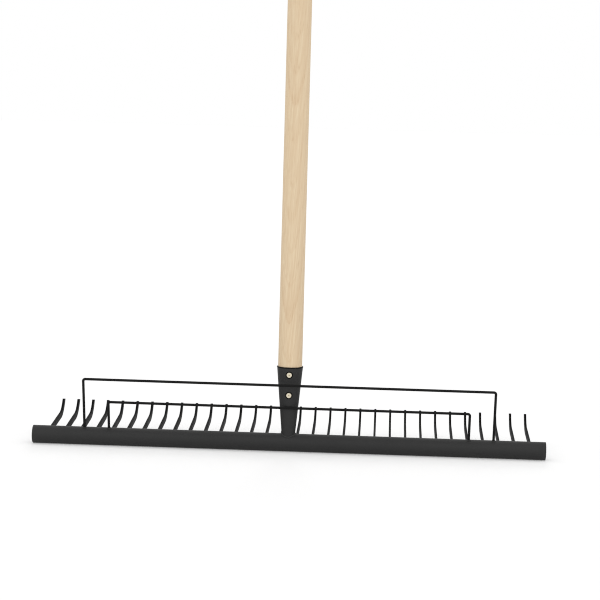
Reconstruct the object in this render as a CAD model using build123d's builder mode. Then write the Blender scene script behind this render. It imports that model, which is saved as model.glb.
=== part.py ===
"""Steel-headed hay rake with a wooden handle, as separate sub-parts in one frame.

Frame: X runs along the crossbar, +Y the way the tines point, +Z up the handle.
The origin is on the underside of the crossbar, straight below the handle's axis.
"""

import os
from math import atan2, cos, degrees, radians, sin, tan

from build123d import *

# ---------------------------------------------------------------- driving dimensions, mm

# Crossbar: round steel tube, closed by a disc in each end
crossbar_length = 600.0
crossbar_od = 21.0
crossbar_wall = 1.5
crossbar_end_chamfer = 0.4
cap_thickness = 2.0
cap_recess = 0.3

# Tines: flat steel strip on edge, straight and then curled up to a bevelled point
tine_count = 32
tine_pitch = 18.27
tine_thickness = 2.5
tine_depth = 7.2
tine_rise_angle = 5.1  # of the straight run, above square to the handle
tine_straight = 93.8  # from the crossbar's axis to the start of the curl
tine_curl_radius = 33.6  # to the middle of the strip
tine_curl_angle = 46.9
tine_tail = 3.0  # short straight after the curl, on the inner edge
tine_point_angle = 29.8  # how far the end is cut away from square
tine_edge_round = 0.4
tine_tang = 2.0  # how far the root stands inside the tube

# Bows: two hoops of round wire in one leaning plane, on the side away from the tines
wire_diameter = 3.0
wire_hole_clearance = 0.02
outer_bow_width = 478.0  # between the middles of its legs
outer_bow_rise = 69.5  # of the crosspiece above the crossbar's axis
inner_bow_width = 420.5
inner_bow_rise = 42.3
bow_corner_radius = 2.5
bow_leg_tang = 2.0
bow_socket_gap = 0.05  # inner crosspiece to the front of the socket

# Handle: turned ash pole, tapered where it sits in the socket
handle_diameter = 28.0
handle_length = 1500.0
handle_end_round = 9.0
handle_tip_gap = 11.5  # from the top of the crossbar up to the handle's tip

# Socket: cone rolled from sheet steel and welded upright on the crossbar
socket_wall = 1.1
socket_rise = 89.7  # of the rim above the crossbar's axis
socket_root_od = 14.0  # of the cone where it would reach the crossbar's axis
socket_fit = 0.05  # gap all round the wood
socket_rim_round = 0.25

# Rivets: two, right through the socket and the wood
rivet_shank = 4.0
rivet_head = 6.0
rivet_head_height = 1.3
rivet_head_round = 0.5
rivet_dimple = 1.3
rivet_dimple_depth = 0.25
rivet_tail = 6.6  # hammered end, at the back
rivet_tail_height = 1.5
upper_rivet_rise = 81.0  # above the crossbar's axis
lower_rivet_rise = 57.0

# ---------------------------------------------------------------- derived places

axis_height = crossbar_od / 2
crossbar_bore = crossbar_od / 2 - crossbar_wall

socket_mouth_radius = handle_diameter / 2 + socket_fit + socket_wall
socket_root_radius = socket_root_od / 2
socket_flare = (socket_mouth_radius - socket_root_radius) / socket_rise
socket_flare_angle = degrees(atan2(socket_flare, 1))


def socket_radius(rise):
    """Outer radius of the socket's cone at a height above the crossbar's axis."""
    return socket_root_radius + socket_flare * rise


# The bows lean until the inner crosspiece lies along the front of the socket.
bow_standoff = socket_radius(inner_bow_rise) + (
    wire_diameter / 2 + bow_socket_gap
) / cos(radians(socket_flare_angle))
bow_lean = degrees(atan2(bow_standoff, inner_bow_rise))

head_centre = (0, 0, axis_height)
lean = radians(bow_lean)
rise_angle = radians(tine_rise_angle)
# Local X across the rake and local Y up the legs of the bows
bow_plane = Plane(head_centre, x_dir=(1, 0, 0), z_dir=(0, -cos(lean), -sin(lean)))
# Planes square to the bow legs and to the tines' straight run, both through the axis
bow_holes_plane = Plane(head_centre, x_dir=(1, 0, 0), z_dir=(0, -sin(lean), cos(lean)))
tine_slots_plane = Plane(
    head_centre, x_dir=(1, 0, 0), z_dir=(0, cos(rise_angle), sin(rise_angle))
)

os.makedirs("parts", exist_ok=True)


def save(part, name):
    """Label a finished piece and write it to its own file."""
    part.label = name
    export_step(part, f"parts/{name}.step")


# ---------------------------------------------------------------- crossbar and its caps

with BuildPart() as crossbar_tube:
    with BuildSketch(Plane.YZ.offset(-crossbar_length / 2)):
        with Locations((0, axis_height)):
            Circle(crossbar_od / 2)
            Circle(crossbar_bore, mode=Mode.SUBTRACT)
    extrude(amount=crossbar_length)
    end_rings = crossbar_tube.edges().filter_by(GeomType.CIRCLE)
    outer_rings = end_rings.filter_by(lambda edge: edge.radius > crossbar_bore + crossbar_wall / 2)
    chamfer(outer_rings, length=crossbar_end_chamfer)
    # One slot in the rear wall for each tine
    with BuildSketch(tine_slots_plane):
        with GridLocations(tine_pitch, 0, tine_count, 1):
            Rectangle(tine_thickness, tine_depth)
    extrude(amount=crossbar_od, mode=Mode.SUBTRACT)
    # One hole in the upper wall for each leg of a bow
    with BuildSketch(bow_holes_plane):
        with GridLocations(outer_bow_width, 0, 2, 1):
            Circle(wire_diameter / 2 + wire_hole_clearance)
        with GridLocations(inner_bow_width, 0, 2, 1):
            Circle(wire_diameter / 2 + wire_hole_clearance)
    extrude(amount=crossbar_od, mode=Mode.SUBTRACT)
save(crossbar_tube.part, "crossbar_tube")

cap_outer_face = crossbar_length / 2 - cap_recess
for side, name in ((-1, "left_end_cap"), (1, "right_end_cap")):
    with BuildPart() as end_cap:
        with BuildSketch(Plane.YZ.offset(side * cap_outer_face)):
            with Locations((0, axis_height)):
                Circle(crossbar_bore)
        extrude(amount=-side * cap_thickness)
    save(end_cap.part, name)

# ---------------------------------------------------------------- tines

tine_root = crossbar_bore - tine_tang
inner_edge = tine_depth / 2
outer_edge = -tine_depth / 2
# The outer edge runs on past the inner one, which brings the end to a point.
tine_point = tine_depth * tan(radians(tine_point_angle))

for number in range(1, tine_count + 1):
    tine_x = (number - (tine_count + 1) / 2) * tine_pitch
    # Local X along the straight run, local Y across the strip towards the handle
    tine_plane = Plane(
        (tine_x, 0, axis_height),
        x_dir=(0, cos(rise_angle), sin(rise_angle)),
        z_dir=(1, 0, 0),
    )
    with BuildPart() as tine:
        with BuildSketch(tine_plane):
            with BuildLine():
                outer_run = Line((tine_root, outer_edge), (tine_straight, outer_edge))
                outer_curl = JernArc(
                    outer_run @ 1, outer_run % 1, tine_curl_radius + tine_depth / 2, tine_curl_angle
                )
                outer_tail = Line(
                    outer_curl @ 1, outer_curl @ 1 + (outer_curl % 1) * (tine_tail + tine_point)
                )
                inner_run = Line((tine_root, inner_edge), (tine_straight, inner_edge))
                inner_curl = JernArc(
                    inner_run @ 1, inner_run % 1, tine_curl_radius - tine_depth / 2, tine_curl_angle
                )
                inner_tail = Line(inner_curl @ 1, inner_curl @ 1 + (inner_curl % 1) * tine_tail)
                Line(outer_tail @ 1, inner_tail @ 1)
                Line(outer_run @ 0, inner_run @ 0)
            make_face()
        extrude(amount=tine_thickness / 2, both=True)
        side_edges = tine.edges().group_by(Axis.X)
        fillet(side_edges[0] + side_edges[-1], radius=tine_edge_round)
    save(tine.part, f"tine_{number:02d}")

# ---------------------------------------------------------------- bows

leg_root = crossbar_bore - bow_leg_tang
bows = (
    ("outer_bow", outer_bow_width, outer_bow_rise),
    ("inner_bow", inner_bow_width, inner_bow_rise),
)
for name, width, rise in bows:
    crown = rise / cos(lean)
    with BuildPart() as bow:
        with BuildLine(bow_plane) as centre_line:
            FilletPolyline(
                (-width / 2, leg_root),
                (-width / 2, crown),
                (width / 2, crown),
                (width / 2, leg_root),
                radius=bow_corner_radius,
            )
        with BuildSketch(Plane(centre_line.line @ 0, z_dir=centre_line.line % 0)):
            Circle(wire_diameter / 2)
        sweep()
    save(bow.part, name)

# ---------------------------------------------------------------- socket

rim_height = axis_height + socket_rise

with BuildPart() as handle_socket:
    with BuildSketch(Plane.XZ):
        Polygon(
            (socket_root_radius - socket_wall, axis_height),
            (socket_root_radius, axis_height),
            (socket_mouth_radius, rim_height),
            (socket_mouth_radius - socket_wall, rim_height),
            align=None,
        )
    revolve(axis=Axis.Z)
    fillet(handle_socket.edges().group_by(Axis.Z)[-1], radius=socket_rim_round)
    # Saddle cut, so that the cone stands on the crossbar
    with BuildSketch(Plane.YZ.offset(-crossbar_length / 2)):
        with Locations((0, axis_height)):
            Circle(crossbar_od / 2)
    extrude(amount=crossbar_length, mode=Mode.SUBTRACT)
    for rivet_rise in (upper_rivet_rise, lower_rivet_rise):
        with BuildSketch(Plane.XZ):
            with Locations((0, axis_height + rivet_rise)):
                Circle(rivet_shank / 2)
        extrude(amount=socket_mouth_radius * 2, both=True, mode=Mode.SUBTRACT)
save(handle_socket.part, "handle_socket")

# ---------------------------------------------------------------- handle

tip_height = crossbar_od + handle_tip_gap
handle_top = tip_height + handle_length
tip_radius = socket_radius(tip_height - axis_height) - socket_wall - socket_fit

with BuildPart() as handle:
    with BuildSketch(Plane.XZ):
        Polygon(
            (0, tip_height),
            (tip_radius, tip_height),
            (handle_diameter / 2, rim_height),
            (handle_diameter / 2, handle_top),
            (0, handle_top),
            align=None,
        )
    revolve(axis=Axis.Z)
    fillet(handle.edges().group_by(Axis.Z)[-1], radius=handle_end_round)
    for rivet_rise in (upper_rivet_rise, lower_rivet_rise):
        with BuildSketch(Plane.XZ):
            with Locations((0, axis_height + rivet_rise)):
                Circle(rivet_shank / 2)
        extrude(amount=handle_diameter, both=True, mode=Mode.SUBTRACT)
save(handle.part, "handle")

# ---------------------------------------------------------------- rivets

for name, rivet_rise in (("upper_rivet", upper_rivet_rise), ("lower_rivet", lower_rivet_rise)):
    seat = socket_radius(rivet_rise)
    front_face = seat + rivet_head_height
    back_face = seat + rivet_tail_height
    with BuildPart() as rivet:
        # Both heads start as solid drums and take the cone's shape underneath
        with BuildSketch(Plane.XZ.offset(front_face)):
            with Locations((0, axis_height + rivet_rise)):
                Circle(rivet_head / 2)
        extrude(amount=-front_face)
        fillet(rivet.edges().group_by(Axis.Y)[0], radius=rivet_head_round)
        with BuildSketch(Plane.XZ.offset(-back_face)):
            with Locations((0, axis_height + rivet_rise)):
                Circle(rivet_tail / 2)
        extrude(amount=back_face)
        fillet(rivet.edges().group_by(Axis.Y)[-1], radius=rivet_tail_height * 0.6)
        with BuildSketch(Plane.XZ):
            Polygon(
                (0, axis_height),
                (socket_root_radius, axis_height),
                (socket_mouth_radius, rim_height),
                (0, rim_height),
                align=None,
            )
        revolve(axis=Axis.Z, mode=Mode.SUBTRACT)
        with BuildSketch(Plane.XZ.offset(-seat)):
            with Locations((0, axis_height + rivet_rise)):
                Circle(rivet_shank / 2)
        extrude(amount=2 * seat)
        # Small dimple left in the middle of the factory head
        with BuildSketch(Plane.XZ.offset(front_face)):
            with Locations((0, axis_height + rivet_rise)):
                Circle(rivet_dimple / 2)
        extrude(amount=-rivet_dimple_depth, mode=Mode.SUBTRACT)
    save(rivet.part, name)
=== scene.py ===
"""Looks of the hay rake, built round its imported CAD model. Metres, in the CAD's own frame."""

import math

import bmesh
import bpy
from mathutils import Matrix, Vector, noise


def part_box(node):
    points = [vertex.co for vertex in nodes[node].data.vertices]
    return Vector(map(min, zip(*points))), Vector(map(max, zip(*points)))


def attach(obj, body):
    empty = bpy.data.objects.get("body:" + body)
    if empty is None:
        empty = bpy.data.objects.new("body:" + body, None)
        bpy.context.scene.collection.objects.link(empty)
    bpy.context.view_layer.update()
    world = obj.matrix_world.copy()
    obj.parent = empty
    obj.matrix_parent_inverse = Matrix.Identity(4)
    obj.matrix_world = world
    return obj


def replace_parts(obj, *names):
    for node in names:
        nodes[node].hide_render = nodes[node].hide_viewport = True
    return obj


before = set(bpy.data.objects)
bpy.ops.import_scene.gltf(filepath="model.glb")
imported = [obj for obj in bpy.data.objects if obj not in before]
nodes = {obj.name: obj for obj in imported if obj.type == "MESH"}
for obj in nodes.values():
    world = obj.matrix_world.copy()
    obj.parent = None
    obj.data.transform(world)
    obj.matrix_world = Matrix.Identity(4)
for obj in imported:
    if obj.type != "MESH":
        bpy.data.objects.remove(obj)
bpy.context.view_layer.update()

# ---------------------------------------------------------------- camera
# A long lens a little above the head and to its right, level enough to see the tines
# past the crossbar, and tipped a degree and a half.

camera_data = bpy.data.cameras.new("camera")
camera_data.sensor_width = 36.0
camera_data.lens = 120.92
camera_data.clip_end = 100.0
camera = bpy.data.objects.new("camera", camera_data)
camera_place = Vector((0.1065, -2.3276, 0.3973))
camera_turn = math.radians(2.388)
camera_down = math.radians(5.377)
camera_tip = math.radians(1.568)
camera.matrix_world = (
    Matrix.Translation(camera_place)
    @ Matrix.Rotation(camera_turn, 4, "Z")
    @ Matrix.Rotation(math.radians(90) - camera_down, 4, "X")
    @ Matrix.Rotation(camera_tip, 4, "Z")
)
bpy.context.scene.collection.objects.link(camera)
bpy.context.scene.camera = camera

# ---------------------------------------------------------------- crossbar
# Welded steel tube, powder coated in a satin anthracite: a skin a tenth of a millimetre
# thick, baked on, that softens the edges and leaves a faint orange peel.

MM = 0.001


def srgb(code):
    """Linear colour, with alpha, of an sRGB hex code."""
    channels = [int(code[i : i + 2], 16) / 255 for i in (1, 3, 5)]
    return (*(c / 12.92 if c <= 0.04045 else ((c + 0.055) / 1.055) ** 2.4 for c in channels), 1)


def add(tree, kind, inputs=None, **settings):
    """Add a node with its settings, and set or link its inputs."""
    new = tree.nodes.new(kind)
    for name, value in settings.items():
        setattr(new, name, value)
    for key, value in (inputs or {}).items():
        if isinstance(value, bpy.types.NodeSocket):
            tree.links.new(value, new.inputs[key])
        else:
            new.inputs[key].default_value = value
    return new


def material(name):
    """An empty node material and its tree."""
    made = bpy.data.materials.new(name)
    made.use_nodes = True
    made.node_tree.nodes.clear()
    return made, made.node_tree


def powder_coat(name, colour, speck, gleam):
    """Baked polyester powder: an even satin skin with faint orange peel and pigment specks.

    The peel's waves are about 1.5 mm across, the specks 0.4 mm and the duller places
    36 mm. To the eye it is a soft dark colour with no clear reflections.
    """
    made, tree = material(name)
    place = add(tree, "ShaderNodeTexCoord").outputs["Object"]
    peel = add(tree, "ShaderNodeTexNoise", {"Vector": place, "Scale": 650.0, "Detail": 2.0})
    grit = add(tree, "ShaderNodeTexNoise", {"Vector": place, "Scale": 2500.0, "Detail": 1.0})
    cloud = add(tree, "ShaderNodeTexNoise", {"Vector": place, "Scale": 28.0, "Detail": 3.0})
    specks = add(
        tree,
        "ShaderNodeMapRange",
        {"Value": grit.outputs["Fac"], "From Min": 0.5, "From Max": 0.8},
    )
    tint = add(
        tree,
        "ShaderNodeMix",
        {0: specks.outputs["Result"], 6: srgb(colour), 7: srgb(speck)},
        data_type="RGBA",
    )
    dullness = add(
        tree,
        "ShaderNodeMapRange",
        {"Value": cloud.outputs["Fac"], "From Min": 0.3, "From Max": 0.7, "To Min": 0.5, "To Max": 0.6},
    )
    skin = add(
        tree,
        "ShaderNodeBump",
        {"Height": peel.outputs["Fac"], "Strength": 0.35, "Distance": 0.05 * MM},
    )
    fine = add(
        tree,
        "ShaderNodeBump",
        {
            "Height": grit.outputs["Fac"],
            "Strength": 0.25,
            "Distance": 0.02 * MM,
            "Normal": skin.outputs["Normal"],
        },
    )
    shader = add(
        tree,
        "ShaderNodeBsdfPrincipled",
        {
            "Base Color": tint.outputs[2],
            "Roughness": dullness.outputs["Result"],
            "Specular IOR Level": gleam,
            "Normal": fine.outputs["Normal"],
        },
    )
    add(tree, "ShaderNodeOutputMaterial", {"Surface": shader.outputs["BSDF"]})
    return made


def as_object(name, mesh, sharp_angle=35.0):
    """Put a finished mesh in the scene, smooth apart from its real edges."""
    mesh.shade_smooth()
    mesh.set_sharp_from_angle(angle=math.radians(sharp_angle))
    made = bpy.data.objects.new(name, mesh)
    bpy.context.scene.collection.objects.link(made)
    return made


def lathe(name, profile, segments, turn=Matrix.Identity(4), shape=None):
    """A closed solid turned about Z from (radius, height) points, then placed by turn.

    shape changes a point's radius and height with its angle round the axis.
    """
    bm = bmesh.new()
    rings = []
    for radius, height in profile:
        ring = []
        for step in range(segments):
            angle = math.tau * step / segments
            reach, rise = shape(angle, radius, height) if shape else (radius, height)
            if reach == 0:
                ring = [bm.verts.new((0, 0, rise))]
                break
            ring.append(bm.verts.new((reach * math.cos(angle), reach * math.sin(angle), rise)))
        rings.append(ring)
    hollow = len(rings[0]) > 1
    pairs = list(zip(rings, rings[1:])) + ([(rings[-1], rings[0])] if hollow else [])
    for low, high in pairs:
        for step in range(segments):
            after = (step + 1) % segments
            corners = [low[step % len(low)], low[after % len(low)]]
            corners += [high[after % len(high)], high[step % len(high)]]
            bm.faces.new(list(dict.fromkeys(corners)))
    bmesh.ops.recalc_face_normals(bm, faces=bm.faces)
    bm.transform(turn)
    mesh = bpy.data.meshes.new(name)
    bm.to_mesh(mesh)
    bm.free()
    return as_object(name, mesh)


coat = powder_coat("anthracite_powder_coat", "#272727", "#333333", 0.2)

bar_low, bar_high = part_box("crossbar_tube")
bar_radius = (bar_high.z - bar_low.z) / 2
bar_height = (bar_high.z + bar_low.z) / 2
bar_half = (bar_high.x - bar_low.x) / 2
bar_wall = bar_radius - (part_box("left_end_cap")[1].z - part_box("left_end_cap")[0].z) / 2
bar_bore = bar_radius - bar_wall
lip = 0.4 * MM
shoulder = 0.3 * lip  # half way round the lip
round_facets = 96
along_x = Matrix.Translation((0, 0, bar_height)) @ Matrix.Rotation(math.radians(90), 4, "Y")

tube_profile = [
    (bar_bore, -bar_half),
    (bar_radius - lip, -bar_half),
    (bar_radius - shoulder, -bar_half + shoulder),
    (bar_radius, -bar_half + lip),
]
stations = 48
for station in range(1, stations):
    tube_profile.append((bar_radius, -bar_half + 2 * bar_half * station / stations))
tube_profile += [(radius, -height) for radius, height in reversed(tube_profile[:4])]
crossbar = lathe("crossbar", tube_profile, round_facets, along_x)
crossbar.data.materials.append(coat)
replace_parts(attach(crossbar, "root"), "crossbar_tube")

# ---------------------------------------------------------------- end caps
# Pressed steel discs, a little dished in the middle, pushed into the two ends of the
# tube and coated with it.

dish = 0.5 * MM
dish_edge = 0.72  # of the bore's radius, as are the next two
dish_slope = 0.6
dish_floor = 0.45
for side, node in ((-1, "left_end_cap"), (1, "right_end_cap")):
    low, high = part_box(node)
    outer = high.x if side > 0 else low.x
    inner = low.x if side > 0 else high.x
    profile = [
        (0, inner),
        (bar_bore, inner),
        (bar_bore, outer - side * lip),
        (bar_bore - lip, outer),
        (bar_bore * dish_edge, outer),
        (bar_bore * dish_slope, outer - side * dish * 0.5),
        (bar_bore * dish_floor, outer - side * dish),
        (0, outer - side * dish),
    ]
    cap = lathe(f"{node}_disc", profile, round_facets, along_x)
    cap.data.materials.append(coat)
    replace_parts(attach(cap, "root"), node)

# ---------------------------------------------------------------- tines
# Flat spring-steel strip set on edge, one in each slot of the crossbar, curled up at
# its end, cut to a point and coated almost black.

tine_coat = powder_coat("powder_coated_spring_steel", "#101010", "#191919", 0.03)
tine_nodes = sorted(name for name in nodes if name.startswith("tine_"))
for name in tine_nodes:
    nodes[name].data.materials.clear()
    nodes[name].data.materials.append(tine_coat)

# ---------------------------------------------------------------- weld beads
# Short runs of weld metal under the coat: one round each tine's root, each bow's leg
# and the foot of the socket. Each run is a chain of overlapping ripples. Their coat is
# drawn a little lighter than the head's, as a painted highlight for the light the beads catch.


def path_tree(name, sizes):
    """A geometry tree that takes a path, named sizes and a material, and its inputs."""
    tree = bpy.data.node_groups.new(name, "GeometryNodeTree")
    sockets = tree.interface
    sockets.new_socket(name="Geometry", in_out="INPUT", socket_type="NodeSocketGeometry")
    for title, kind, value in sizes:
        size = sockets.new_socket(name=title, in_out="INPUT", socket_type=f"NodeSocket{kind}")
        size.default_value = value
    sockets.new_socket(name="Material", in_out="INPUT", socket_type="NodeSocketMaterial")
    sockets.new_socket(name="Geometry", in_out="OUTPUT", socket_type="NodeSocketGeometry")
    return tree, tree.nodes.new("NodeGroupInput").outputs


def coat_tree(tree, shape, coating):
    """End a geometry tree by giving its shape the coating."""
    coated = add(tree, "GeometryNodeSetMaterial", {"Geometry": shape, "Material": coating})
    add(tree, "NodeGroupOutput", {"Geometry": coated.outputs["Geometry"]})


def set_inputs(modifier, tree, values):
    """Set a modifier's inputs from their names."""
    for item in tree.interface.items_tree:
        if item.in_out == "INPUT" and item.name in values:
            modifier[item.identifier] = values[item.name]


def grown(name, tree, values, points, edges):
    """The plain mesh that a geometry tree makes from a set of points and edges.

    The tree leaves an empty material slot in front of its own, so the slots are made again.
    """
    seed_mesh = bpy.data.meshes.new(f"{name}_path")
    seed_mesh.from_pydata(points, edges, [])
    grower = bpy.data.objects.new(f"{name}_path", seed_mesh)
    bpy.context.scene.collection.objects.link(grower)
    modifier = grower.modifiers.new("grow", "NODES")
    modifier.node_group = tree
    set_inputs(modifier, tree, values)
    bpy.context.view_layer.update()
    evaluated = grower.evaluated_get(bpy.context.evaluated_depsgraph_get())
    mesh = bpy.data.meshes.new_from_object(evaluated)
    mesh.name = name
    mesh.polygons.foreach_set("material_index", [0] * len(mesh.polygons))
    mesh.materials.clear()
    mesh.materials.append(values["Material"])
    grower.modifiers.remove(modifier)
    bpy.data.objects.remove(grower)
    return as_object(name, mesh, 60.0)


def weld_tree():
    """A bead of rippled weld metal along a closed path, repeated at even steps along X."""
    ripple_stations = 5
    ripple_low = 0.85  # of the bead's radius, between two ripples
    ripple_rise = 0.2  # of it again, at a ripple's crest
    bead_facets = 10
    lumps_per_metre = 420.0  # each about 2.4 mm across
    tree, given = path_tree(
        "weld_bead",
        (
            ("Bead Radius", "Float", 1.2 * MM),
            ("Ripple Pitch", "Float", 1.1 * MM),
            ("Unevenness", "Float", 0.2 * MM),
            ("Copies", "Int", 1),
            ("Step", "Float", 0.0),
            ("Seed", "Float", 0.0),
        ),
    )
    curve = add(tree, "GeometryNodeMeshToCurve", {"Mesh": given["Geometry"]})
    spacing = add(
        tree,
        "ShaderNodeMath",
        {0: given["Ripple Pitch"], 1: 1 / ripple_stations},
        operation="MULTIPLY",
    )
    even = add(
        tree,
        "GeometryNodeResampleCurve",
        {"Curve": curve.outputs["Curve"], "Length": spacing.outputs[0]},
        mode="LENGTH",
    )
    run = add(tree, "GeometryNodeSplineParameter").outputs["Length"]
    ripple = add(tree, "ShaderNodeMath", {0: run, 1: given["Ripple Pitch"]}, operation="DIVIDE")
    phase = add(tree, "ShaderNodeMath", {0: ripple.outputs[0]}, operation="FRACT")
    half_turn = add(tree, "ShaderNodeMath", {0: phase.outputs[0], 1: math.pi}, operation="MULTIPLY")
    crest = add(tree, "ShaderNodeMath", {0: half_turn.outputs[0]}, operation="SINE")
    swell = add(
        tree,
        "ShaderNodeMath",
        {0: crest.outputs[0], 1: ripple_rise, 2: ripple_low},
        operation="MULTIPLY_ADD",
    )
    ring = add(
        tree,
        "GeometryNodeCurvePrimitiveCircle",
        {"Resolution": bead_facets, "Radius": given["Bead Radius"]},
    )
    bead = add(
        tree,
        "GeometryNodeCurveToMesh",
        {
            "Curve": even.outputs["Curve"],
            "Profile Curve": ring.outputs["Curve"],
            "Scale": swell.outputs[0],
            "Fill Caps": True,
        },
    )
    step = add(tree, "ShaderNodeCombineXYZ", {"X": given["Step"]})
    row = add(
        tree,
        "GeometryNodeMeshLine",
        {"Count": given["Copies"], "Offset": step.outputs[0]},
        mode="OFFSET",
    )
    copies = add(
        tree,
        "GeometryNodeInstanceOnPoints",
        {"Points": row.outputs["Mesh"], "Instance": bead.outputs["Mesh"]},
    )
    real = add(tree, "GeometryNodeRealizeInstances", {"Geometry": copies.outputs["Instances"]})
    lumps = add(
        tree,
        "ShaderNodeTexNoise",
        {"W": given["Seed"], "Scale": lumps_per_metre, "Detail": 1.0},
        noise_dimensions="4D",
    )
    centred = add(
        tree,
        "ShaderNodeVectorMath",
        {0: lumps.outputs["Color"], 1: (0.5, 0.5, 0.5)},
        operation="SUBTRACT",
    )
    shift = add(
        tree,
        "ShaderNodeVectorMath",
        {0: centred.outputs[0], "Scale": given["Unevenness"]},
        operation="SCALE",
    )
    moved = add(
        tree,
        "GeometryNodeSetPosition",
        {"Geometry": real.outputs["Geometry"], "Offset": shift.outputs[0]},
    )
    coat_tree(tree, moved.outputs["Geometry"], given["Material"])
    return tree


def foot_on_bar(x, across, direction, outward):
    """Where a line that runs along direction, square to X, leaves the crossbar."""
    reach = math.sqrt(bar_radius**2 - across**2)
    return Vector((x, 0, bar_height)) + direction * reach + outward * across


def loop_edges(count):
    """Edges that join a number of points in a closed ring."""
    return [(i, (i + 1) % count) for i in range(count)]


weld = weld_tree()
# A little lighter than the head's coat: a painted highlight on the weld beads.
highlight_weld_coat = powder_coat("weld_coat_painted_highlight", "#2c2c2c", "#383838", 0.2)

tine_low, tine_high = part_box(tine_nodes[0])
tine_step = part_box(tine_nodes[1])[0].x - tine_low.x
tine_x = (tine_low.x + tine_high.x) / 2
strip_half_thick = (tine_high.x - tine_low.x) / 2
strip_half_deep = 3.6 * MM
corner_inset = 0.6 * MM  # from the strip's corner to the middle of the path's bend
corner_bend = 0.9 * MM
tine_rise = math.radians(5.1)
tine_way = Vector((0, math.cos(tine_rise), math.sin(tine_rise)))
tine_up = Vector((0, -math.sin(tine_rise), math.cos(tine_rise)))

outline = []
corner_steps = 4
for corner, (sx, sy) in enumerate(((1, 1), (-1, 1), (-1, -1), (1, -1))):
    for step in range(corner_steps + 1):
        angle = math.radians(90) * (corner + step / corner_steps)
        cx = sx * (strip_half_thick - corner_inset)
        cy = sy * (strip_half_deep - corner_inset)
        outline.append((cx + corner_bend * math.cos(angle), cy + corner_bend * math.sin(angle)))
root_path = [foot_on_bar(tine_x + x, y, tine_way, tine_up) for x, y in outline]
tine_welds = grown(
    "tine_welds",
    weld,
    {
        "Bead Radius": 1.0 * MM,
        "Ripple Pitch": 1.4 * MM,
        "Unevenness": 0.7 * MM,
        "Copies": len(tine_nodes),
        "Step": tine_step,
        "Seed": 3.0,
        "Material": highlight_weld_coat,
    },
    root_path,
    loop_edges(len(root_path)),
)
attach(tine_welds, "root")

# ---------------------------------------------------------------- bows
# Two hoops of 3 mm drawn wire, bent cold at the corners. Their legs stand in holes in
# the crossbar and are welded there; the inner crosspiece lies on the socket.


def wire_tree():
    """Round wire along a path, with its corners bent to a radius."""
    wire_facets = 24
    tree, given = path_tree(
        "bent_wire",
        (
            ("Wire Radius", "Float", 1.5 * MM),
            ("Bend Radius", "Float", 2.5 * MM),
            ("Bend Steps", "Int", 10),
        ),
    )
    curve = add(tree, "GeometryNodeMeshToCurve", {"Mesh": given["Geometry"]})
    bent = add(
        tree,
        "GeometryNodeFilletCurve",
        {
            "Curve": curve.outputs["Curve"],
            "Radius": given["Bend Radius"],
            "Count": given["Bend Steps"],
        },
        mode="POLY",
    )
    ring = add(
        tree,
        "GeometryNodeCurvePrimitiveCircle",
        {"Resolution": wire_facets, "Radius": given["Wire Radius"]},
    )
    wire = add(
        tree,
        "GeometryNodeCurveToMesh",
        {"Curve": bent.outputs["Curve"], "Profile Curve": ring.outputs["Curve"], "Fill Caps": True},
    )
    real = add(tree, "GeometryNodeRealizeInstances", {"Geometry": wire.outputs["Mesh"]})
    coat_tree(tree, real.outputs["Geometry"], given["Material"])
    return tree


bent_wire = wire_tree()
wire_coat = powder_coat("powder_coated_wire", "#181818", "#202020", 0.05)
wire_radius = 1.5 * MM
leg_tang = 2 * MM  # how far a leg stands inside the tube
weld_reach = wire_radius + 0.2 * MM  # from the leg's axis to the middle of its weld
weld_points = 24
for name, seed in (("outer_bow", 8.0), ("inner_bow", 12.0)):
    low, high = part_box(name)
    half_width = (high.x - low.x) / 2 - wire_radius
    top = high.z - wire_radius
    lean = math.atan2(-(low.y + wire_radius), top - bar_height)
    leg_way = Vector((0, -math.sin(lean), math.cos(lean)))
    leg_side = Vector((0, -math.cos(lean), -math.sin(lean)))
    crown = (top - bar_height) / math.cos(lean)
    root = bar_bore - leg_tang
    centre = Vector((0, 0, bar_height))
    corners = [
        centre + leg_way * reach + Vector((x, 0, 0))
        for x, reach in (
            (-half_width, root),
            (-half_width, crown),
            (half_width, crown),
            (half_width, root),
        )
    ]
    hoop = grown(
        f"{name}_wire",
        bent_wire,
        {"Wire Radius": wire_radius, "Bend Radius": 2.5 * MM, "Bend Steps": 10, "Material": wire_coat},
        corners,
        [(0, 1), (1, 2), (2, 3)],
    )
    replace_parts(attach(hoop, "root"), name)

    foot_path = []
    for step in range(weld_points):
        angle = math.tau * step / weld_points
        foot_path.append(
            foot_on_bar(
                -half_width + weld_reach * math.cos(angle),
                weld_reach * math.sin(angle),
                leg_way,
                leg_side,
            )
        )
    feet = grown(
        f"{name}_welds",
        weld,
        {
            "Bead Radius": 0.9 * MM,
            "Ripple Pitch": 1.3 * MM,
            "Unevenness": 0.5 * MM,
            "Copies": 2,
            "Step": 2 * half_width,
            "Seed": seed,
            "Material": highlight_weld_coat,
        },
        foot_path,
        loop_edges(len(foot_path)),
    )
    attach(feet, "root")

# ---------------------------------------------------------------- socket
# Cone rolled from 1.1 mm sheet, its edges butted in a seam behind the right side, its
# foot cut to a saddle and welded on the crossbar. Coated with the rest of the head. A black
# bead round its mouth, against the wood, is painted shade.

cone_low, cone_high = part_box("handle_socket")
sheet = 1.1 * MM
mouth_radius = (cone_high.x - cone_low.x) / 2
root_radius = 7.0 * MM
flare = (mouth_radius - root_radius) / (cone_high.z - bar_height)
rim_round = 0.25 * MM
seam_angle = math.radians(50)
seam_depth = 0.3 * MM
seam_half_width = 0.45 * MM


def saddle(angle):
    """Radius and height of the cone's outside where it meets the crossbar.

    Each try starts from the radius that the last one came to, and five are plenty.
    """
    radius = root_radius
    for _ in range(5):
        rise = math.sqrt(bar_radius**2 - (radius * math.sin(angle)) ** 2)
        radius = root_radius + flare * rise
    return radius, bar_height + rise


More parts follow.
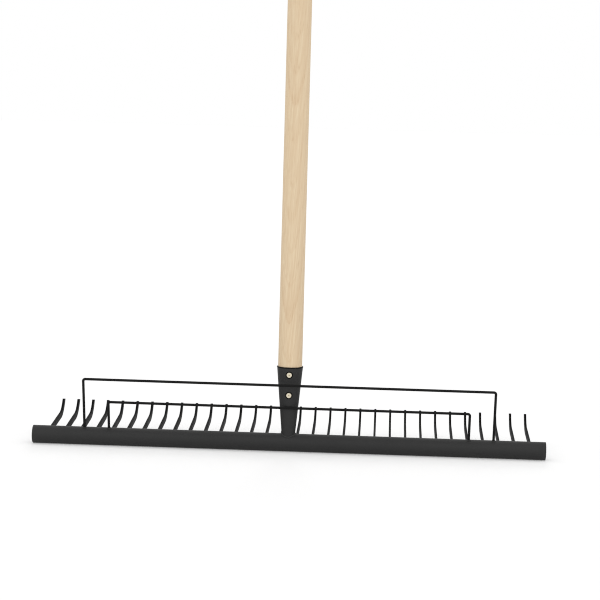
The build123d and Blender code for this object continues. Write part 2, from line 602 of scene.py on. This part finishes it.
def rolled_cone(angle, depth, share):
    """A point of the socket's wall: its depth in the sheet and its share of the way up."""
    foot = saddle(angle)[1]
    height = foot + (cone_high.z - foot) * share
    radius = root_radius + flare * (height - bar_height) - depth
    from_seam = (angle - seam_angle) * radius / seam_half_width
    groove = seam_depth * math.exp(-(from_seam**2)) if depth < sheet / 2 else 0
    return radius - groove, height


rim_share = rim_round / (cone_high.z - bar_height - bar_radius)
wall_steps = 20
inner_wall_steps = 4
socket_facets = 240  # fine enough for the seam
socket_profile = [(0, (1 - rim_share) * step / wall_steps) for step in range(wall_steps + 1)]
socket_profile += [(rim_round * 0.3, 1 - rim_share * 0.3), (rim_round, 1)]
socket_profile += [(sheet - rim_round, 1), (sheet, 1 - rim_share)]
for step in range(1, inner_wall_steps + 1):
    socket_profile.append((sheet, (1 - rim_share) * (1 - step / inner_wall_steps)))
cone = lathe("rolled_socket", socket_profile, socket_facets, shape=rolled_cone)
cone.data.materials.append(coat)
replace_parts(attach(cone, "root"), "handle_socket")

# Near-black coat for the bead at the socket's mouth and the rings round the rivet heads: painted shade, not
# a real lacquer.
painted_shade_black = powder_coat("black_painted_shade", "#0a0907", "#12100d", 0.1)
mouth_shade_section = (  # mm out from the mouth's edge, and mm above it
    (-1.4, -0.6),
    (-0.3, -1.3),
    (0.12, -1.0),
    (0.22, -0.6),
    (0.18, -0.1),
    (-0.1, 0.15),
    (-0.7, 0.2),
    (-1.25, 0.15),
    (-1.5, -0.1),
)
mouth_shade_profile = [(mouth_radius + out * MM, cone_high.z + up * MM) for out, up in mouth_shade_section]
mouth_shade_facets = 120
mouth_shade_ring = lathe("mouth_shade_ring", mouth_shade_profile, mouth_shade_facets)
mouth_shade_ring.data.materials.append(painted_shade_black)
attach(mouth_shade_ring, "root")

saddle_path = []
saddle_points = 48
for step in range(saddle_points):
    angle = math.tau * step / saddle_points
    radius, height = saddle(angle)
    saddle_path.append((radius * math.cos(angle), radius * math.sin(angle), height))
socket_weld = grown(
    "socket_weld",
    weld,
    {
        "Bead Radius": 1.2 * MM,
        "Ripple Pitch": 1.7 * MM,
        "Unevenness": 0.5 * MM,
        "Seed": 21.0,
        "Material": highlight_weld_coat,
    },
    saddle_path,
    loop_edges(len(saddle_path)),
)
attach(socket_weld, "root")

# ---------------------------------------------------------------- handle
# Ash pole turned to 28 mm, sanded and left bare, its lower end tapered to fill the
# socket. It is cut a few degrees off the grain, so its rings run out in long steep Vs.


def ash(name):
    """Bare sanded ash: pale cream, with soft slanting rings and finer streaks along them.

    The rings are 3.8 mm apart, the fibre 0.5 mm wide by about 30 mm long and the broad
    streaks 1.7 mm by 120 mm. The open pores of each spring ring, really 0.3 mm wide, are
    drawn 0.8 mm by 12 mm so that they show.
    """
    drift_per_mm = (0.04, 0.04, 0.007)  # across, across and along the pole, as below
    fibre_per_mm = (1.8, 1.8, 0.03)
    streak_per_mm = (0.6, 0.6, 0.008)
    pore_per_mm = (1.2, 1.2, 0.08)
    pith_place = (6.0, 42.0, 0.0)  # mm from the pole's axis, at the floor
    pith_lean = (0.014, 0.09, 1.0)  # mm for each mm up
    fibre_lean = (0.05, 0.03, 0.0)
    drift_reach = 5.0  # mm that a ring wanders
    ring_gap = 3.8
    spring_levels = ((0.0, 0.7), (0.12, 0.65), (0.4, 0.2), (0.85, 0.0), (1.0, 0.55))
    made, tree = material(name)
    place = add(tree, "ShaderNodeTexCoord").outputs["Object"]
    in_mm = add(
        tree, "ShaderNodeVectorMath", {0: place, "Scale": 1000.0}, operation="SCALE"
    ).outputs[0]
    axes = add(tree, "ShaderNodeSeparateXYZ", {0: in_mm}).outputs
    slow = add(
        tree, "ShaderNodeVectorMath", {0: in_mm, 1: drift_per_mm}, operation="MULTIPLY"
    )
    drift = add(tree, "ShaderNodeTexNoise", {"Vector": slow.outputs[0], "Scale": 1.0, "Detail": 2.0})
    pith = add(
        tree,
        "ShaderNodeVectorMath",
        {0: axes["Z"], 1: pith_lean, 2: pith_place},
        operation="MULTIPLY_ADD",
    )
    from_pith = add(
        tree, "ShaderNodeVectorMath", {0: in_mm, 1: pith.outputs[0]}, operation="SUBTRACT"
    )
    radius = add(tree, "ShaderNodeVectorMath", {0: from_pith.outputs[0]}, operation="LENGTH")
    grown_out = add(
        tree,
        "ShaderNodeMath",
        {0: drift.outputs["Fac"], 1: drift_reach, 2: radius.outputs["Value"]},
        operation="MULTIPLY_ADD",
    ).outputs[0]
    years = add(tree, "ShaderNodeMath", {0: grown_out, 1: ring_gap}, operation="DIVIDE")
    season = add(tree, "ShaderNodeMath", {0: years.outputs[0]}, operation="FRACT")
    spring = add(tree, "ShaderNodeValToRGB", {0: season.outputs[0]})
    ramp = spring.color_ramp.elements
    for position, _ in spring_levels[1:-1]:
        ramp.new(position)
    for element, (_, level) in zip(ramp, spring_levels):
        element.color = (level, level, level, 1)
    year = add(tree, "ShaderNodeMath", {0: years.outputs[0]}, operation="FLOOR")
    good_year = add(tree, "ShaderNodeTexWhiteNoise", {"W": year.outputs[0]}, noise_dimensions="1D")
    ring = add(
        tree,
        "ShaderNodeMath",
        {0: spring.outputs["Color"], 1: good_year.outputs["Value"]},
        operation="MULTIPLY",
    )
    leaning = add(
        tree, "ShaderNodeVectorMath", {0: axes["Z"], 1: fibre_lean}, operation="MULTIPLY"
    )
    along = add(
        tree, "ShaderNodeVectorMath", {0: in_mm, 1: leaning.outputs[0]}, operation="SUBTRACT"
    )
    fibre_place = add(
        tree, "ShaderNodeVectorMath", {0: along.outputs[0], 1: fibre_per_mm}, operation="MULTIPLY"
    )
    fibre = add(
        tree,
        "ShaderNodeTexNoise",
        {"Vector": fibre_place.outputs[0], "Scale": 1.0, "Detail": 2.0, "Roughness": 0.5},
    )
    streak_place = add(
        tree, "ShaderNodeVectorMath", {0: along.outputs[0], 1: streak_per_mm}, operation="MULTIPLY"
    )
    streak = add(
        tree,
        "ShaderNodeTexNoise",
        {"Vector": streak_place.outputs[0], "Scale": 1.0, "Detail": 1.0, "Roughness": 0.5},
    )
    pore_place = add(
        tree, "ShaderNodeVectorMath", {0: along.outputs[0], 1: pore_per_mm}, operation="MULTIPLY"
    )
    pore = add(
        tree, "ShaderNodeTexNoise", {"Vector": pore_place.outputs[0], "Scale": 1.0, "Detail": 1.0}
    )
    open_pore = add(
        tree,
        "ShaderNodeMapRange",
        {"Value": pore.outputs["Fac"], "From Min": 0.55, "From Max": 0.7},
    )
    pores = add(
        tree,
        "ShaderNodeMath",
        {0: open_pore.outputs["Result"], 1: spring.outputs["Color"]},
        operation="MULTIPLY",
    )
    plank = add(
        tree,
        "ShaderNodeMix",
        {0: drift.outputs["Fac"], 6: srgb("#dac7a8"), 7: srgb("#d4c0a1")},
        data_type="RGBA",
    )
    ringed = add(
        tree,
        "ShaderNodeMix",
        {0: ring.outputs[0], 6: plank.outputs[2], 7: srgb("#c9ad8b")},
        data_type="RGBA",
    )
    streak_share = add(
        tree,
        "ShaderNodeMapRange",
        {"Value": streak.outputs["Fac"], "From Min": 0.38, "From Max": 0.62, "To Max": 0.7},
    )
    streaky = add(
        tree,
        "ShaderNodeMix",
        {0: streak_share.outputs["Result"], 6: ringed.outputs[2], 7: srgb("#cdb595")},
        data_type="RGBA",
    )
    fibre_share = add(
        tree,
        "ShaderNodeMapRange",
        {"Value": fibre.outputs["Fac"], "From Min": 0.38, "From Max": 0.66, "To Max": 0.5},
    )
    streaked = add(
        tree,
        "ShaderNodeMix",
        {0: fibre_share.outputs["Result"], 6: streaky.outputs[2], 7: srgb("#c9b090")},
        data_type="RGBA",
    )
    pore_share = add(tree, "ShaderNodeMath", {0: pores.outputs[0], 1: 0.4}, operation="MULTIPLY")
    pored = add(
        tree,
        "ShaderNodeMix",
        {0: pore_share.outputs[0], 6: streaked.outputs[2], 7: srgb("#a88562")},
        data_type="RGBA",
    )
    depth = add(
        tree,
        "ShaderNodeMath",
        {0: pores.outputs[0], 1: -0.8, 2: fibre.outputs["Fac"]},
        operation="MULTIPLY_ADD",
    )
    relief = add(
        tree,
        "ShaderNodeBump",
        {"Height": depth.outputs[0], "Strength": 0.3, "Distance": 0.05 * MM},
    )
    dullness = add(
        tree,
        "ShaderNodeMapRange",
        {"Value": fibre.outputs["Fac"], "To Min": 0.55, "To Max": 0.72},
    )
    shader = add(
        tree,
        "ShaderNodeBsdfPrincipled",
        {
            "Base Color": pored.outputs[2],
            "Roughness": dullness.outputs["Result"],
            "Specular IOR Level": 0.25,
            "Normal": relief.outputs["Normal"],
        },
    )
    add(tree, "ShaderNodeOutputMaterial", {"Surface": shader.outputs["BSDF"]})
    return made


def sanded(angle, radius, height):
    """Small unevenness, in waves of about 60 mm, that sanding leaves on a turned pole."""
    wave = 60 * MM
    depth = 0.06 * MM
    around = Vector((math.cos(angle), math.sin(angle), height / wave))
    return (radius + depth * noise.noise(around) if radius else 0), height


pole_low, pole_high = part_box("handle")
pole_radius = (pole_high.x - pole_low.x) / 2
end_round = 9 * MM
tip_edge = 0.6 * MM
tip_radius = root_radius - sheet + flare * (pole_low.z - bar_height)
pole_profile = [(0, pole_low.z), (tip_radius - tip_edge, pole_low.z)]
pole_profile.append((tip_radius, pole_low.z + tip_edge))
taper_steps = 12
for step in range(1, taper_steps + 1):
    share = step / taper_steps
    radius = tip_radius + (pole_radius - tip_radius) * share
    pole_profile.append((radius, pole_low.z + (cone_high.z - pole_low.z) * share))
shaft_steps = 140
shaft_top = pole_high.z - end_round
for step in range(1, shaft_steps + 1):
    pole_profile.append(
        (pole_radius, cone_high.z + (shaft_top - cone_high.z) * step / shaft_steps)
    )
round_steps = 10
for step in range(1, round_steps + 1):
    angle = math.radians(90) * step / round_steps
    pole_profile.append(
        (
            pole_radius - end_round * (1 - math.cos(angle)),
            shaft_top + end_round * math.sin(angle),
        )
    )
pole_profile.append((0, pole_high.z))
pole = lathe("ash_handle", pole_profile, round_facets, shape=sanded)
pole.data.materials.append(ash("bare_turned_ash"))
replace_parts(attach(pole, "root"), "handle")

# ---------------------------------------------------------------- rivets
# Two zinc-plated steel rivets through socket and wood, set after coating, with a small
# dimple left by the punch. A thin black ring round each head, on the socket, is painted shade.


def zinc(name, axis):
    """Dull zinc plate on a pressed head: pale, warm and softly mottled, darker in the middle.

    The mottling is about 1 mm across, and the darker middle fades out 1.1 mm from the axis.
    """
    made, tree = material(name)
    place = add(tree, "ShaderNodeTexCoord").outputs["Object"]
    mottle = add(tree, "ShaderNodeTexNoise", {"Vector": place, "Scale": 900.0, "Detail": 3.0})
    tint = add(
        tree,
        "ShaderNodeMix",
        {0: mottle.outputs["Fac"], 6: srgb("#e2dac6"), 7: srgb("#c6bca6")},
        data_type="RGBA",
    )
    off_axis = add(tree, "ShaderNodeVectorMath", {0: place, 1: axis}, operation="SUBTRACT")
    flat = add(
        tree, "ShaderNodeVectorMath", {0: off_axis.outputs[0], 1: (1, 0, 1)}, operation="MULTIPLY"
    )
    out_from_middle = add(tree, "ShaderNodeVectorMath", {0: flat.outputs[0]}, operation="LENGTH")
    middle_fade = add(
        tree,
        "ShaderNodeMapRange",
        {"Value": out_from_middle.outputs["Value"], "From Min": 0.4 * MM, "From Max": 1.1 * MM},
    )
    # Darker towards the rivet's axis, fading out 1.1 mm from it.
    darker_middle = add(
        tree,
        "ShaderNodeMix",
        {0: middle_fade.outputs["Result"], 6: srgb("#a89a78"), 7: tint.outputs[2]},
        data_type="RGBA",
    )
    dullness = add(
        tree,
        "ShaderNodeMapRange",
        {"Value": mottle.outputs["Fac"], "To Min": 0.35, "To Max": 0.55},
    )
    relief = add(
        tree,
        "ShaderNodeBump",
        {"Height": mottle.outputs["Fac"], "Strength": 0.3, "Distance": 0.03 * MM},
    )
    shader = add(
        tree,
        "ShaderNodeBsdfPrincipled",
        {
            "Base Color": darker_middle.outputs[2],
            "Metallic": 1.0,
            "Roughness": dullness.outputs["Result"],
            "Normal": relief.outputs["Normal"],
        },
    )
    add(tree, "ShaderNodeOutputMaterial", {"Surface": shader.outputs["BSDF"]})
    return made


# The painted shade ring's section: mm from the rivet's axis, and mm proud of the socket
rivet_shade_section = ((2.7, -0.5), (2.7, 0.12), (3.4, 0.12), (4.3, 0.04), (4.4, -0.5))
rivet_shade_profile = [(reach * MM, proud * MM) for reach, proud in rivet_shade_section]
rivet_shade_facets = 48
for name in ("upper_rivet", "lower_rivet"):
    low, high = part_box(name)
    rivet_axis = (low + high) / 2
    nodes[name].data.materials.clear()
    nodes[name].data.materials.append(zinc(f"zinc_plated_{name}", rivet_axis))

    def on_socket(angle, reach, proud, middle=rivet_axis.z):
        """A point of the painted shade ring, measured from the socket's skin and not from a plane."""
        skin_radius = root_radius + flare * (middle + reach * math.sin(angle) - bar_height)
        return reach, math.sqrt(skin_radius**2 - (reach * math.cos(angle)) ** 2) + proud

    facing_front = Matrix.Translation((0, 0, rivet_axis.z)) @ Matrix.Rotation(
        math.radians(90), 4, "X"
    )
    # A near-black ring round the head, painted shade where the head meets the socket.
    shade_ring = lathe(f"{name}_seal", rivet_shade_profile, rivet_shade_facets, facing_front, on_socket)
    shade_ring.data.materials.append(painted_shade_black)
    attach(shade_ring, "root")

# ---------------------------------------------------------------- studio
# Lit white floor that runs into a white surround of the same brightness, one very broad
# soft lamp high in front, and one low behind that lights only the floor.

floor_mesh = bpy.data.meshes.new("studio_floor")
far = 40.0
floor_mesh.from_pydata([(-far, -far, 0), (far, -far, 0), (far, far, 0), (-far, far, 0)], [], [(0, 1, 2, 3)])
studio_floor = bpy.data.objects.new("studio_floor", floor_mesh)
bpy.context.scene.collection.objects.link(studio_floor)
white, white_tree = material("white_floor_paint")
floor_shader = add(
    white_tree,
    "ShaderNodeBsdfPrincipled",
    {
        "Base Color": (0.67, 0.67, 0.67, 1),
        "Roughness": 0.9,
        "Specular IOR Level": 0.0,
        "Emission Color": (1, 1, 1, 1),
        "Emission Strength": 0.2,
    },
)
add(white_tree, "ShaderNodeOutputMaterial", {"Surface": floor_shader.outputs["BSDF"]})
floor_mesh.materials.append(white)

surround = bpy.data.worlds.new("white_surround")
surround.use_nodes = True
background = surround.node_tree.nodes["Background"].inputs
background["Color"].default_value = (1, 1, 1, 1)
background["Strength"].default_value = 1.0
bpy.context.scene.world = surround


def distant_lamp(name, energy, spread, way):
    """A lamp far off that shines along way, as soft as its spread in degrees."""
    data = bpy.data.lights.new(name, "SUN")
    data.energy = energy
    data.angle = math.radians(spread)
    lamp = bpy.data.objects.new(name, data)
    lamp.matrix_world = Vector(way).to_track_quat("-Z", "Y").to_matrix().to_4x4()
    bpy.context.scene.collection.objects.link(lamp)
    return lamp


distant_lamp("broad_front_lamp", 0.6, 70, (-0.04, 0.75, -0.65))
low_lamp = distant_lamp("low_floor_lamp", 1.5, 24, (0.0, -0.97, -0.24))
lit_by_low_lamp = bpy.data.collections.new("lit_by_low_lamp")
lit_by_low_lamp.objects.link(studio_floor)
low_lamp.light_linking.receiver_collection = lit_by_low_lamp
bpy.context.scene.view_settings.view_transform = "Standard"
bpy.context.scene.cycles.filter_width = 1.1
